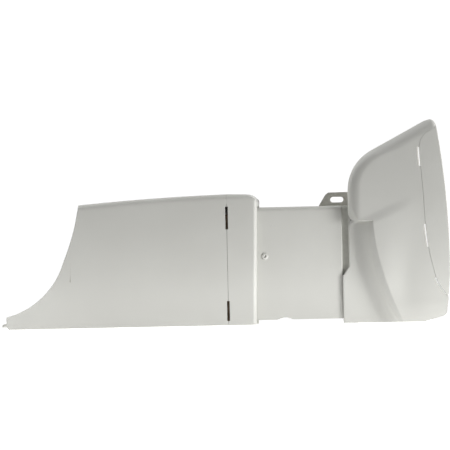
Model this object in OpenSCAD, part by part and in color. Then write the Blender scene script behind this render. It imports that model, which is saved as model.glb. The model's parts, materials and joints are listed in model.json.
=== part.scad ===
// Telescoping cowl ventilator, lying along X.
// A scribed trunk with a snap-on collar holds a sliding rectangular duct.
// The duct carries a flared hood with an open mouth and a snap-on bezel.
// X runs from the scribed end to the mouth, Y across, Z up from the mounting plane.

/* [Trunk] */
// Outer width of the trunk cover and its collar
trunk_w = 140; // [138:1:144]
// Height of the highest point of the trunk's crowned top
trunk_h = 158.1; // [156.6:0.5:160.1]
// Distance from the origin back to the foot of the scribed end
trunk_back = 264; // [258:1:268]
// Place of the seam between trunk cover and collar
seam_x = 3; // [1:0.5:5]
// Place of the collar's end face at its top
collar_end = 40; // [38:0.5:42]
// Radius of the collar's upper corner, seen from the side
collar_corner_r = 14; // [10:1:16]
// Lean of the collar's end face from top to foot
collar_lean = 3.5; // [0:0.5:5]
// Radius of the long rounded edges of the crowned top
trunk_edge_r = 7; // [5:1:10]

/* [Scribed end] */
// Radius of the upper, flatter sweep of the scribed end
scribe_upper_r = 266; // [262:1:270]
// Radius of the lower, tighter sweep of the scribed end
scribe_lower_r = 96; // [94:1:98]
// Height at which the two sweeps meet
scribe_join_z = 80; // [78:1:82]

/* [Duct] */
// Outer width of the sliding duct
duct_w = 120; // [118:1:121]
// Height of the duct's top face
duct_top = 141; // [139:0.5:142]
// Height of the duct's lower edge
duct_foot = 5.4; // [5:0.1:6]
// Place of the duct's inner end, inside the trunk
duct_back = -100; // [-104:1:-96]
// Place of the shoulder where the duct steps in to its spigot
duct_front = 141; // [140:0.5:142]
// Width of the spigot that enters the hood
spigot_w = 104; // [102:1:106]

/* [Hood] */
// Place of the hood's upright back edge
hood_back = 148.7; // [148:0.1:150]
// Place of the lower skirt's edge, which laps the duct
skirt_back = 140.8; // [140:0.1:142]
// Radius of the shoulder between the back edge and the sloping top
shoulder_r = 54.5; // [52:0.5:57]
// Slope of the hood's top, in degrees
top_slope = 28; // [26:0.5:30]
// Height of the hood's highest point
hood_top = 242.8; // [240:0.1:244]
// Farthest reach of the mouth's edge
mouth_reach = 269.4; // [267:0.1:271]
// Half width of the tight lower skirt
skirt_y = 66; // [65:0.5:68]
// Half width of the hood at its mouth
mouth_y = 90; // [86:1:94]
// Depth of the rounded edge between the hood's side and its back and top
hood_edge_r = 16; // [12:1:18]
// Height of the ceiling of the finger recess in the hood's side
recess_top = 121.5; // [118:0.5:124]

/* [Walls and fasteners] */
// Wall thickness of the moulded covers
wall = 3; // [2.5:0.25:3.5]
// Wall thickness of the sliding duct
duct_wall = 2.5; // [2:0.25:3]
// Thickness of the base plates
plate_t = 3; // [3:0.5:3]
// Radius of the four mounting holes in the trunk's base plate
mount_hole_r = 2.75; // [2.25:0.25:3.25]
// Distance between mounting holes along the trunk
mount_pitch_x = 180; // [160:5:190]
// Distance between mounting holes across the trunk
mount_pitch_y = 60; // [50:5:64]
// Width of the slot in the lug
lug_slot_w = 6.6; // [5:0.1:7]
// Length of the slot in the lug
lug_slot_l = 15.8; // [14:0.1:17]

/* [Hidden] */
$fn = 48;
e = 0.01;                       // overlap that keeps cuts clean
shell = "#d9dad3";
shadow_grey = "#8c8d86";
steel = "#a9aaa6";

crown_r = 2700;                 // radius of the trunk's crowned top, along X
crown_x = 59;                   // where the crown is highest
scribe_upper = [-438.4, 185.9]; // centres of the two sweeps, X and Z
scribe_lower = [-286, 108.4];
slot_w = 2.8;                   // snap slots along the collar seam
slot_upper = [115.3, 142.6];    // lower and upper end of each slot
slot_lower = [5.4, 29.3];
collar_flange = 3;

shoe_y = [45.6, duct_w / 2 - duct_wall - 0.4];
rail_y = [42, 45];
duct_floor = 8;                 // underside of the duct's base plate
rivet_at = [48, 82];            // the blind rivets in the duct's sides, X and Z
rivet_r = 2.4;
lug_rivet_x = [100, 118];
lug_rivet_y = 10;
lug_rivet_r = 2;
lug_rivet_head = 3.6;
lug_rivet_sink = 1.6;           // depth of the countersinks for the lug's rivets
fit = 0.04;                     // play between a shank and its hole
notch_x = 71;                   // pry notch in the duct's lower edge
wiper_x = [-4, 12];             // both faces of the felt strips
wiper_plate = 3;                // thickness of the plates that hold them
felt_side_top = 133;
spigot_end = 160;
spigot_top = 134;
neck_x = [hood_back, hood_back + 3];

shoulder_z = 158.5;             // the shoulder's centre height
skirt_blend = [57.1, 67.2];     // where the skirt's edge runs out to the hood's back edge
mouth_mid_z = 75;               // height of the mouth edge's farthest point
apex_r = 7;                     // radius of the hood's front top corner
lip_x = 238;                    // where the lower lip starts to rise
lip_rise = 0.26;
scoop_run = 22;                 // the recess's floor starts to rise this far before the step
scoop_share = 0.45;             // and has risen by this share of the full depth there

function lerp(a, b, t) = a + (b - a) * t;
function clamp01(t) = max(0, min(1, t));
function smooth(t) = let (u = clamp01(t)) u * u * (3 - 2 * u);
function arc(c, r, a0, a1, n) =
    [for (i = [0:n]) let (a = lerp(a0, a1, i / n)) c + r * [cos(a), sin(a)]];

// ---- helpers -------------------------------------------------------------

// Extrudes a side outline, drawn as X and Z, to the given width about Y = 0.
module side_profile(points, width) {
    rotate([90, 0, 0])
        linear_extrude(width, center = true)
            polygon(points);
}

// The same, only from y0 to y1, on both sides of the part.
module side_pair(points, y0, y1) {
    for (s = [-1, 1])
        translate([0, s * (y0 + y1) / 2, 0])
            side_profile(points, y1 - y0);
}

module block(x, y, z) {
    translate([x[0], y[0], z[0]])
        cube([x[1] - x[0], y[1] - y[0], z[1] - z[0]]);
}

// A block and its mirror image across the middle plane.
module block_pair(x, y, z) {
    block(x, y, z);
    block(x, [-y[1], -y[0]], z);
}

// A rod along Y through the given X and Z, from y0 to y1.
module rod_y(x, z, r, y0, y1) {
    translate([x, y0, z])
        rotate([-90, 0, 0])
            cylinder(h = y1 - y0, r = r);
}

// ---- trunk ---------------------------------------------------------------

// Solid of the trunk's crowned form, set in by the given amount all round.
module crowned(inset, edge_r, x0, x1) {
    half = trunk_w / 2 - inset;
    outer = crown_r - inset;
    intersection() {
        translate([crown_x, 0, trunk_h - crown_r])
            rotate([90, 0, 0])
                rotate([0, 0, 82])
                    rotate_extrude(angle = 16, $fn = 720)
                        polygon(concat(
                            [[outer - 200, -half], [outer - edge_r, -half]],
                            arc([outer - edge_r, edge_r - half], edge_r, -90, 0, 6),
                            arc([outer - edge_r, half - edge_r], edge_r, 0, 90, 6),
                            [[outer - 200, half]]));
        block([x0, x1], [-half - 1, half + 1], [0, trunk_h + 5]);
    }
}

// Everything beyond the scribed end, to be cut away.
module scribed_away() {
    intersection() {
        rod_y(scribe_upper[0], scribe_upper[1], scribe_upper_r, -100, 100, $fn = 180);
        block([-800, 0], [-101, 101], [scribe_join_z, 500]);
    }
    rod_y(scribe_lower[0], scribe_lower[1], scribe_lower_r, -100, 100, $fn = 120);
    block([-600, -trunk_back - 20], [-101, 101], [-1, 500]);
    block([-600, -trunk_back], [-101, 101], [-1, 60]);
}

module seam_slots() {
    for (span = [slot_upper, slot_lower])
        block([seam_x - slot_w / 2, seam_x + slot_w / 2], [-100, 100], span);
}

module screw_boss(x, y, r, bore) {
    difference() {
        translate([x, y, plate_t])
            cylinder(h = 17, r = r);
        translate([x, y, plate_t - e])
            cylinder(h = 12, r = bore);
    }
}

boss_x = [-225, -125];
boss_y = trunk_w / 2 - wall - 4.6;
collar_boss_x = 24;
collar_boss_y = trunk_w / 2 - wall - 3;

module trunk_cover() {
    color(shell) {
        difference() {
            crowned(0, trunk_edge_r, -trunk_back - 10, seam_x);
            crowned(wall, trunk_edge_r - wall, -trunk_back - 20, seam_x + 1);
            scribed_away();
            seam_slots();
        }
        for (x = boss_x, s = [-1, 1])
            screw_boss(x, s * boss_y, 5, 1.9);
    }
}

function collar_outline(inset) =
    let (x1 = collar_end - inset, top = trunk_h - inset, r = collar_corner_r - inset)
    concat([[seam_x, 0], [x1 - collar_lean, 0]],
           arc([x1 - r, top - r - 0.8], r, 0, 90, 8),
           [[seam_x, top + 2]]);

module collar_plan(inset) {
    half = trunk_w / 2 - inset;
    r = 5 - inset;
    linear_extrude(trunk_h + 10)
        polygon(concat([[seam_x, -half]],
                       arc([collar_end - inset - r, r - half], r, -90, 0, 6),
                       arc([collar_end - inset - r, half - r], r, 0, 90, 6),
                       [[seam_x, half]]));
}

module trunk_collar() {
    gap = 0.8;
    color(shell) {
        difference() {
            intersection() {
                crowned(0, trunk_edge_r, seam_x, collar_end);
                side_profile(collar_outline(0), trunk_w + 2);
                collar_plan(0);
            }
            intersection() {
                crowned(wall, trunk_edge_r - wall, seam_x - 1, collar_end);
                translate([-e, 0, -e])
                    side_profile(collar_outline(collar_flange), trunk_w + 2);
                translate([-e, 0, -1])
                    collar_plan(collar_flange);
            }
            block([0, collar_end + 1], [-duct_w / 2 - gap, duct_w / 2 + gap],
                  [-1, duct_top + gap]);
            seam_slots();
        }
        for (s = [-1, 1])
            screw_boss(collar_boss_x, s * collar_boss_y, 3.2, 1.6);
    }
}

module screw_hole(x, y, r) {
    translate([x, y, -1])
        cylinder(h = plate_t + 2, r = r);
}

module countersink(x, y, r, head_r) {
    translate([x, y, 0])
        rotate_extrude()
            polygon([[0, -e], [head_r + e, -e], [r, head_r - r], [0, head_r - r]]);
}

module trunk_base() {
    half = trunk_w / 2 - wall - 0.3;
    color(shell)
        difference() {
            block([-trunk_back + 6, collar_end - collar_lean - collar_flange - 1],
                  [-half, half], [0, plate_t]);
            for (sx = [-1, 1], sy = [-1, 1])
                screw_hole(-110 + sx * mount_pitch_x / 2, sy * mount_pitch_y / 2, mount_hole_r);
            for (x = boss_x, s = [-1, 1]) {
                screw_hole(x, s * boss_y, 1.9);
                countersink(x, s * boss_y, 1.9, 3.8);
            }
            for (s = [-1, 1]) {
                screw_hole(collar_boss_x, s * collar_boss_y, 1.6);
                countersink(collar_boss_x, s * collar_boss_y, 1.6, 3);
            }
        }
}

// Two tapered tongues that reach out past the scribed end, on top of the base plate.
module locating_tongues() {
    tip = -269.4;
    root = -236;
    plate_end = -trunk_back + 6;
    color("#c9ccc2")
        side_pair([[root, plate_t], [plate_end - 1, plate_t], [tip + 1.5, 1.6], [tip, 2.6],
                   [tip + 1.2, 4.6], [-258, 6.4], [-250, 7.6], [root, 7.6]], 50, 64);
}

module guide_rails() {
    color(shadow_grey)
        block_pair([-235, 32], rail_y, [plate_t, 7.6]);
}

module felt_wiper() {
    inner = duct_w / 2 + 0.35;
    outer = trunk_w / 2 - wall - 0.3;
    color("#6d5a48") {
        block_pair(wiper_x, [inner, outer], [plate_t, felt_side_top]);
        block(wiper_x, [-54, 54], [duct_top + 0.35, trunk_h - wall - 3]);
    }
}

module wiper_retainer() {
    half = trunk_w / 2 - wall - 0.3;
    inner = duct_w / 2 + 0.8;
    color("#4a4a46")
        for (x = [[wiper_x[0] - wiper_plate, wiper_x[0]],
                  [wiper_x[1], wiper_x[1] + wiper_plate]])
            difference() {
                block(x, [-half, half], [plate_t, trunk_h - wall - 3]);
                block([x[0] - 1, x[1] + 1], [-inner, inner], [0, duct_top + 0.8]);
                // Corners cut to clear the trunk's rounded edges.
                for (s = [-1, 1])
                    translate([x[0] + wiper_plate / 2, s * half, trunk_h - wall - 3])
                        rotate([45, 0, 0])
                            cube([wiper_plate + 2, 7.4, 7.4], center = true);
            }
}

module flat_screw(x, y, r, head_r, length) {
    translate([x, y, 0])
        rotate_extrude()
            polygon([[0, 0.4], [1, 0.4], [1, 0], [head_r, 0], [r, head_r - r], [r, length - 2],
                     [0, length]]);
}

module base_screws() {
    color(steel) {
        for (x = boss_x, s = [-1, 1])
            flat_screw(x, s * boss_y, 1.9, 3.8, 14);
        for (s = [-1, 1])
            flat_screw(collar_boss_x, s * collar_boss_y, 1.6, 3, 14);
    }
}

// ---- sliding duct --------------------------------------------------------

module duct_section(half, top, foot, r) {
    polygon(concat([[-half, foot], [half, foot]],
                   arc([half - r, top - r], r, 0, 90, 6),
                   arc([r - half, top - r], r, 90, 180, 6)));
}

// A hollow length of duct between two places, open at its foot.
module duct_length(x0, x1, half, top, foot, r) {
    translate([x0, 0, 0])
        rotate([90, 0, 90])
            linear_extrude(x1 - x0)
                difference() {
                    duct_section(half, top, foot, r);
                    duct_section(half - duct_wall, top - duct_wall, foot - 1, r - duct_wall);
                }
}

module slide_duct() {
    half = duct_w / 2;
    spigot = spigot_w / 2;
    color(shell)
        difference() {
            union() {
                duct_length(duct_back, duct_front, half, duct_top, duct_foot, 6);
                duct_length(duct_front - duct_wall, spigot_end, spigot, spigot_top, duct_floor, 5);
                translate([duct_front - duct_wall, 0, 0])
                    rotate([90, 0, 90])
                        linear_extrude(duct_wall)
                            difference() {
                                duct_section(half, duct_top, duct_foot, 6);
                                duct_section(spigot - duct_wall, spigot_top - duct_wall,
                                             duct_foot - 1, 5 - duct_wall);
                            }
            }
            rod_y(notch_x, duct_foot - 15.2, 17.7, -70, 70, $fn = 96);
            for (s = [-1, 1])
                rod_y(rivet_at[0], rivet_at[1], rivet_r + fit, s > 0 ? 50 : -70,
                      s > 0 ? 70 : -50);
            for (x = lug_rivet_x, s = [-1, 1])
                translate([x, s * lug_rivet_y, 0])
                    rotate_extrude()
                        polygon([[0, duct_top - 10], [lug_rivet_r + fit, duct_top - 10],
                                 [lug_rivet_r + fit, duct_top - lug_rivet_sink],
                                 [lug_rivet_head, duct_top], [lug_rivet_head, duct_top + 5],
                                 [0, duct_top + 5]]);
            block([lug_root[0] - fit, lug_root[1] + fit], [-lug_t / 2 - fit, lug_t / 2 + fit],
                  [duct_top - 5, duct_top + 5]);
        }
}

module duct_base() {
    half = duct_w / 2 - duct_wall;
    color(shell) {
        block([duct_back, duct_front - duct_wall], [-half, half],
              [duct_floor, duct_floor + duct_wall]);
        block([duct_front - duct_wall, spigot_end],
              [-spigot_w / 2 + duct_wall, spigot_w / 2 - duct_wall],
              [duct_floor, duct_floor + duct_wall]);
    }
}

module glide_shoes() {
    color("#e9e6da")
        for (x = [duct_back + 2, duct_back + 40])
            block_pair([x, x + 22], shoe_y, [plate_t + 0.3, duct_floor]);
}

module stop_blocks() {
    color(shadow_grey)
        block_pair([duct_back, duct_back + 8], [duct_w / 2, trunk_w / 2 - wall - 0.6], [12, 120]);
}

module spacer_tube() {
    inner = duct_w / 2 - duct_wall;
    color(steel)
        difference() {
            rod_y(rivet_at[0], rivet_at[1], 4, -inner, inner);
            rod_y(rivet_at[0], rivet_at[1], rivet_r + fit, -inner - 1, inner + 1);
        }
}

// A blind rivet's shank, head and hollow, with its outer end at the duct's wall.
module blind_rivet() {
    rotate_extrude()
        polygon([[0.9, -8], [rivet_r, -8], [rivet_r, 0], [4, 0], [3.8, 0.8], [2.6, 1.5],
                 [0.9, 1.5]]);
}

module side_rivets() {
    color("#d4d5ce")
        for (s = [-1, 1])
            translate([rivet_at[0], s * duct_w / 2, rivet_at[1]])
                rotate([-90 * s, 0, 0])
                    blind_rivet();
}

// ---- lug -----------------------------------------------------------------

lug_x = [112.5, 148.7];
lug_root = [115, 136];          // the part of the tab that passes through the duct's top
lug_top = 157.6;
lug_slot = [134.7, 148.4];
lug_t = 2.5;
lug_plate = [duct_top - duct_wall - 2, duct_top - duct_wall];

function lug_outline() =
    [[lug_root[0], duct_top], [lug_x[0], duct_top], [lug_x[0] + 8.4, lug_top - 3.4],
     [lug_x[0] + 9.8, lug_top - 1.4], [lug_x[0] + 12, lug_top - 0.6], [lug_x[1], lug_top],
     [lug_x[1], duct_top], [lug_root[1], duct_top], [lug_root[1], lug_plate[0] + 0.5],
     [lug_root[0], lug_plate[0] + 0.5]];

// A slotted tab that stands up through the duct's top, on a plate riveted inside.
module lug_bracket() {
    slot_half = (lug_slot_l - lug_slot_w) / 2;
    color("#a5a69e") {
        difference() {
            side_profile(lug_outline(), lug_t);
            for (s = [-1, 1])
                rod_y(lug_slot[0] + s * slot_half, lug_slot[1], lug_slot_w / 2, -5, 5);
            block([lug_slot[0] - slot_half, lug_slot[0] + slot_half], [-5, 5],
                  [lug_slot[1] - lug_slot_w / 2, lug_slot[1] + lug_slot_w / 2]);
        }
        difference() {
            block([92, lug_root[1]], [-18, 18], lug_plate);
            for (x = lug_rivet_x, s = [-1, 1])
                translate([x, s * lug_rivet_y, lug_plate[0] - 1])
                    cylinder(h = 4, r = lug_rivet_r + fit);
        }
        block([lug_x[1] - 2, lug_x[1]], [-12, 12], [duct_top + 0.2, lug_top]);
    }
}

// Countersunk outside, so that they lie flush with the duct's top.
module lug_rivets() {
    tail = lug_plate[0];
    color(steel)
        for (x = lug_rivet_x, s = [-1, 1])
            translate([x, s * lug_rivet_y, 0])
                rotate_extrude()
                    polygon([[0, tail - 1.4], [2.6, tail - 1.2], [3.2, tail], [lug_rivet_r, tail],
                             [lug_rivet_r, duct_top - lug_rivet_sink],
                             [lug_rivet_head - fit, duct_top - fit], [0, duct_top - fit]]);
}

// ---- neck ----------------------------------------------------------------

module neck_frame(x, half, top, foot, hole_half, hole_top, hole_foot) {
    difference() {
        block(x, [-half, half], [foot, top]);
        block([x[0] - 1, x[1] + 1], [-hole_half, hole_half], [hole_foot, hole_top]);
    }
}

module neck_gasket() {
    color("#77786f")
        neck_frame([duct_front, neck_x[0]], 57, duct_top, 4, spigot_w / 2 + 0.05,
                   spigot_top + 0.05, duct_floor - 0.05);
}

neck_screw_at = [for (s = [-1, 1], z = [22, 80, 128]) [s * 57, z]];

module neck_screw_holes(r) {
    for (p = neck_screw_at)
        translate([neck_x[0] - 2, p[0], p[1]])
            rotate([0, 90, 0])
                cylinder(h = 14, r = r);
}

module neck_ring() {
    color(shadow_grey)
        difference() {
            neck_frame([neck_x[1], neck_x[1] + 5], 61.5, 140, 4, spigot_w / 2 + 0.3,
                       spigot_top + 0.3, duct_floor - 0.3);
            neck_screw_holes(1.6);
        }
}

module neck_screws() {
    color(steel)
        for (p = neck_screw_at)
            translate([neck_x[1] + 5, p[0], p[1]])
                rotate([0, -90, 0])
                    rotate_extrude()
                        polygon([[0, -2], [1, -2], [3, -1], [3, 0], [1.6, 0], [1.6, 7.8], [0, 7.8]]);
}

// ---- hood ----------------------------------------------------------------

slope_x = hood_back + shoulder_r * (1 - sin(top_slope));
slope_z = shoulder_z + shoulder_r * cos(top_slope);

// Where the hood's back or top starts, at height z.
function back_x(z) =
    z < skirt_blend[0] ? skirt_back
    : z < skirt_blend[1] ? lerp(skirt_back + 1, hood_back, (z - skirt_blend[0]) / 10.1)
    : z < shoulder_z ? hood_back
    : z < slope_z ? hood_back + shoulder_r - sqrt(pow(shoulder_r, 2) - pow(z - shoulder_z, 2))
    : slope_x + (z - slope_z) / tan(top_slope);

// How squarely a level line meets the back edge there.
function back_turn(z) =
    z < shoulder_z ? 1 : max(sin(top_slope), (hood_back + shoulder_r - back_x(z)) / shoulder_r);

// The mouth's edge at height z.
function mouth_x(z) =
    let (far = mouth_reach - (z > mouth_mid_z ? 0.00051 : 0.00117) * pow(z - mouth_mid_z, 2),
         corner = hood_top - apex_r)
    z > corner ? far - apex_r + sqrt(max(0, pow(apex_r, 2) - pow(z - corner, 2)))
    : min(far, lip_x + z / lip_rise);

// The two edges of the curved step beside the finger recess.
function step_foot(z) =
    z < recess_top ? 174.2 + 33 * pow(clamp01((120 - z) / 119.4), 2.1)
    : back_x(z) + 0.215 * (mouth_x(z) - back_x(z));
function step_head(z) =
    z < recess_top ? 179.3 + 34.5 * pow(clamp01((120 - z) / 119.4), 1.65)
    : back_x(z) + 0.257 * (mouth_x(z) - back_x(z));

// Half width of the full hood, before the recess is taken out.
function full_y(x, z) =
    let (flare = smooth((x - 130) / 150), tuck = 1 - 0.45 * pow(clamp01((26 - z) / 26), 2),
         shoulder_in = 6 * pow(clamp01((z - 120) / 123), 2))
    skirt_y + (mouth_y - skirt_y) * (0.55 + 0.45 * flare) * tuck - shoulder_in;

// Share of the full bulge at a place: none on the skirt and in the recess, whose floor
// rises like a scoop towards the step.
function bulge_share(x, z, column) =
    z > recess_top || column >= len(back_share) ? 1
    : scoop_share * pow(clamp01(1 - (step_foot(z) - x) / scoop_run), 2.2);

function edge_r(z) = z < skirt_blend[0] ? 1.5 : lerp(1.5, hood_edge_r, smooth((z - 57) / 14));

function side_y(x, z, column) =
    let (y = lerp(skirt_y, full_y(x, z), bulge_share(x, z, column)),
         r = min(edge_r(z), y - skirt_y + 2 + (z > recess_top ? 20 : 0)),
         d = min(r, (x - back_x(z)) * back_turn(z)))
    y - r + sqrt(max(0, r * r - pow(r - d, 2)));

// Level of each row, with a pair of rows at the recess's ceiling.
row_z = [0, 3, 8, 16, 28, 42, 57, 62, 67.3, 78, 90, 104, 114, recess_top - 0.3,
         recess_top + 0.3, 134, 148, 162, 174, 184, 193, 200, 206, 212, 219, 226, 232, 236,
         239.4, 241.8, hood_top];
back_share = [0, 0.03, 0.12, 0.3, 0.5, 0.68, 0.84, 0.999];
mouth_share = [0, 0.15, 0.35, 0.6, 0.8, 1];

// Places along one side at height z, from the back edge to the mouth.
function column_x(z) = concat(
    [for (t = back_share) lerp(back_x(z), step_foot(z), t)],
    [for (t = mouth_share) lerp(step_head(z), mouth_x(z), t)]);

function hood_row(z) =
    let (xs = column_x(z), n = len(xs))
    concat([for (j = [n - 1:-1:0]) [xs[j], -side_y(xs[j], z, j), z]],
           [for (j = [0:n - 1]) [xs[j], side_y(xs[j], z, j), z]]);

hood_grid = [for (z = row_z) hood_row(z)];
hood_cols = len(hood_grid[0]);

function unit(v) = v / max(norm(v), 1e-6);
function inward(g, i, j) =
    let (r = len(g) - 1, c = len(g[0]) - 1,
         up = g[min(r, i + 1)][j] - g[max(0, i - 1)][j],
         along = g[i][min(c, j + 1)] - g[i][max(0, j - 1)])
    unit(cross(along, up));

// The inner skin, one wall in. The foot stays level.
function inner_skin(g, t) =
    [for (i = [0:len(g) - 1])
        [for (j = [0:len(g[0]) - 1])
            let (p = g[i][j] + t * inward(g, i, j))
            [min(p[0], g[i][0][0] - (j == 0 || j == len(g[0]) - 1 ? 0 : 0.5)), p[1],
             i == 0 ? 0 : p[2]]]];

// A closed solid between two grids of the same size.
module skin_pair(inner, outer) {
    rows = len(outer);
    cols = len(outer[0]);
    m = rows * cols;
    points = [for (g = [inner, outer], row = g, p = row) p];
    function at(i, j) = i * cols + j;
    polyhedron(points, concat(
        [for (i = [0:rows - 2], j = [0:cols - 2], k = [0, 1])
            k == 0 ? [at(i, j), at(i + 1, j), at(i + 1, j + 1)]
                   : [at(i, j), at(i + 1, j + 1), at(i, j + 1)]],
        [for (i = [0:rows - 2], j = [0:cols - 2], k = [0, 1])
            k == 0 ? [m + at(i, j), m + at(i + 1, j + 1), m + at(i + 1, j)]
                   : [m + at(i, j), m + at(i, j + 1), m + at(i + 1, j + 1)]],
        [for (j = [0:cols - 2], k = [0, 1])
            k == 0 ? [at(0, j), at(0, j + 1), m + at(0, j + 1)]
                   : [at(0, j), m + at(0, j + 1), m + at(0, j)]],
        [for (j = [0:cols - 2], k = [0, 1])
            k == 0 ? [at(rows - 1, j + 1), at(rows - 1, j), m + at(rows - 1, j)]
                   : [at(rows - 1, j + 1), m + at(rows - 1, j), m + at(rows - 1, j + 1)]],
        [for (i = [0:rows - 2], k = [0, 1])
            k == 0 ? [at(i + 1, 0), at(i, 0), m + at(i, 0)]
                   : [at(i + 1, 0), m + at(i, 0), m + at(i + 1, 0)]],
        [for (i = [0:rows - 2], k = [0, 1])
            k == 0 ? [at(i, cols - 1), at(i + 1, cols - 1), m + at(i + 1, cols - 1)]
                   : [at(i, cols - 1), m + at(i + 1, cols - 1), m + at(i, cols - 1)]]));
}

module hood_shell() {
    skin_pair(inner_skin(hood_grid, wall), hood_grid);
}

// The bezel's seam on the hood's side, from the top corner to the mouth's edge.
bezel_seam = [[256.5, 233.9], [249.5, 229.6], [243.4, 225.5], [238.8, 220], [236.4, 213.5],
              [235.9, 206], [237.2, 187], [239.4, 157], [241.6, 118.8], [245.1, 87.5],
              [249.4, 67], [255, 47.6], [266, 30.4]];
// Lower and upper ends of the snap slots beside the seam.
bezel_slots = [[[233.9, 209.9], [236.6, 186.4]], [[239.8, 116.9], [244, 89]],
               [[252.6, 52.4], [265.3, 31.2]]];
bezel_gap = 0.3;

module bezel_zone(gap) {
    seam = [for (p = bezel_seam) p + [gap, 0]];
    side_profile(concat(seam, [[290, 30.4], [290, 233.9]]), 300);
}

module bezel_slot_cuts() {
    for (s = bezel_slots) {
        run = s[1] - s[0];
        side = unit([run[1], -run[0]]) * 1.2;
        side_profile([s[0] - side, s[1] - side, s[1] + side, s[0] + side], 300);
    }
}

module cowl_head() {
    color(shell) {
        difference() {
            hood_shell();
            block([100, neck_x[1]], [-duct_w / 2 - 0.9, duct_w / 2 + 0.9], [-1, duct_top + 0.9]);
            bezel_zone(0);
            bezel_slot_cuts();
        }
        difference() {
            neck_frame(neck_x, skirt_y - wall + 0.8, duct_top + 6, 0, spigot_w / 2 + 0.3,
                       spigot_top + 0.3, duct_floor - 0.3);
            neck_screw_holes(1.6);
        }
    }
}

module head_base() {
    foot = [[neck_x[1] + 5.2, skirt_y - wall - 0.1], [209, skirt_y - wall - 0.1], [217, 71.5],
            [236, 73]];
    color(shell)
        linear_extrude(plate_t)
            polygon(concat(foot, [for (i = [len(foot) - 1:-1:0]) [foot[i][0], -foot[i][1]]]));
}

// Two cheeks, one each side, joined by an arch that runs inside the hood's top.
module mouth_bezel() {
    lip = 2.8;
    arch = [[246, 196], [260, 196], [258.5, 222], [256, 232], [252, 238], [240, 238]];
    color(shell) {
        intersection() {
            skin_pair(inner_skin(hood_grid, wall + lip), hood_grid);
            bezel_zone(bezel_gap);
        }
        intersection() {
            skin_pair(inner_skin(hood_grid, wall + lip), inner_skin(hood_grid, wall + 0.3));
            side_profile(arch, 200);
        }
    }
}

// ---- screen --------------------------------------------------------------

screen_half = spigot_w / 2 - duct_wall;
screen_z = [duct_floor + duct_wall, spigot_top - duct_wall];

screen_border = 5;

// A frame pushed into the spigot, with corners that follow the spigot's own.
module screen_frame() {
    color(shadow_grey)
        translate([152, 0, 0])
            rotate([90, 0, 90])
                linear_extrude(8)
                    difference() {
                        duct_section(screen_half - fit, screen_z[1] - fit, screen_z[0], 3);
                        duct_section(screen_half - screen_border, screen_z[1] - screen_border,
                                     screen_z[0] + screen_border, 1);
                    }
}

module insect_screen() {
    pitch = 8.6;
    bar = 1.2;
    hole = pitch - bar;
    half = screen_half - screen_border;
    foot = screen_z[0] + screen_border;
    top = screen_z[1] - screen_border;
    across = floor((2 * half - bar) / pitch);
    up = floor((top - foot - bar) / pitch);
    color("#6f716c")
        translate([155.4, 0, 0])
            rotate([90, 0, 90])
                linear_extrude(1)
                    difference() {
                        duct_section(half, top, foot, 1);
                        for (i = [0:across - 1], k = [0:up - 1])
                            translate([(i - across / 2) * pitch + bar / 2,
                                       (foot + top - up * pitch + bar) / 2 + k * pitch])
                                square(hole);
                    }
}

trunk_cover();
trunk_collar();
trunk_base();
locating_tongues();
guide_rails();
felt_wiper();
wiper_retainer();
base_screws();
slide_duct();
duct_base();
glide_shoes();
stop_blocks();
spacer_tube();
side_rivets();
lug_bracket();
lug_rivets();
neck_gasket();
neck_ring();
neck_screws();
cowl_head();
head_base();
mouth_bezel();
screen_frame();
insect_screen();
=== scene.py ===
import json
import math

import bmesh
import bpy
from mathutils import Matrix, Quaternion, Vector


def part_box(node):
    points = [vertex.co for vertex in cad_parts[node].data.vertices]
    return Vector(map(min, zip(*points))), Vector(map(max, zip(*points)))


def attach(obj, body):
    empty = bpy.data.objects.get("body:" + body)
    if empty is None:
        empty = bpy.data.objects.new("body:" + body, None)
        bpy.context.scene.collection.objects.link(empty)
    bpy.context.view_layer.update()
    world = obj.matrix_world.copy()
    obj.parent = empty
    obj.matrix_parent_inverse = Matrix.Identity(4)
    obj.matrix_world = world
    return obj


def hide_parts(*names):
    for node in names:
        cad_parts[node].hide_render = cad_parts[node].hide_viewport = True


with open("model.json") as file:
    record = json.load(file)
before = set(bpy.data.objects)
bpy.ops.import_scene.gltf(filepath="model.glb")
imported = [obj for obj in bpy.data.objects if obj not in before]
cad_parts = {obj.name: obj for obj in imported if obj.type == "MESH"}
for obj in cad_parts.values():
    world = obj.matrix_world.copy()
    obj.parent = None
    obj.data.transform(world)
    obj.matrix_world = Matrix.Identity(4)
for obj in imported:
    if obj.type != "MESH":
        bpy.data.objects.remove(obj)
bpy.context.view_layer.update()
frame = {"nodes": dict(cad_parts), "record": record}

MM = 0.001      # lengths below are in millimetres unless a comment says otherwise
TINY = 1e-6


# ---- small helpers -----------------------------------------------------------

def lerp(a, b, t):
    return a + (b - a) * t


def clamp01(t):
    return min(1.0, max(0.0, t))


def smooth(t):
    u = clamp01(t)
    return u * u * (3 - 2 * u)


def ramp(t, soft):
    """A straight ramp from 0 to 1 whose two corners are rounded."""
    if t <= -soft or t >= 1 + soft:
        return float(t > 0.5)
    if t < soft:
        return (t + soft) ** 2 / (4 * soft)
    if t > 1 - soft:
        return 1 - (1 + soft - t) ** 2 / (4 * soft)
    return t


def spread(a, b, n):
    """n + 1 evenly spaced values from a to b."""
    return [lerp(a, b, i / n) for i in range(n + 1)]


def merged(values, gap):
    """The values in order, without those closer than gap to the one before."""
    out = []
    for v in sorted(values):
        if not out or v - out[-1] > gap:
            out.append(v)
    return out


def box_mm(node):
    low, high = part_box(node)
    return low / MM, high / MM


# ---- materials ---------------------------------------------------------------

TONE_BAND = (0.35, 0.65)    # where in the noise one tone turns into the other


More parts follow.
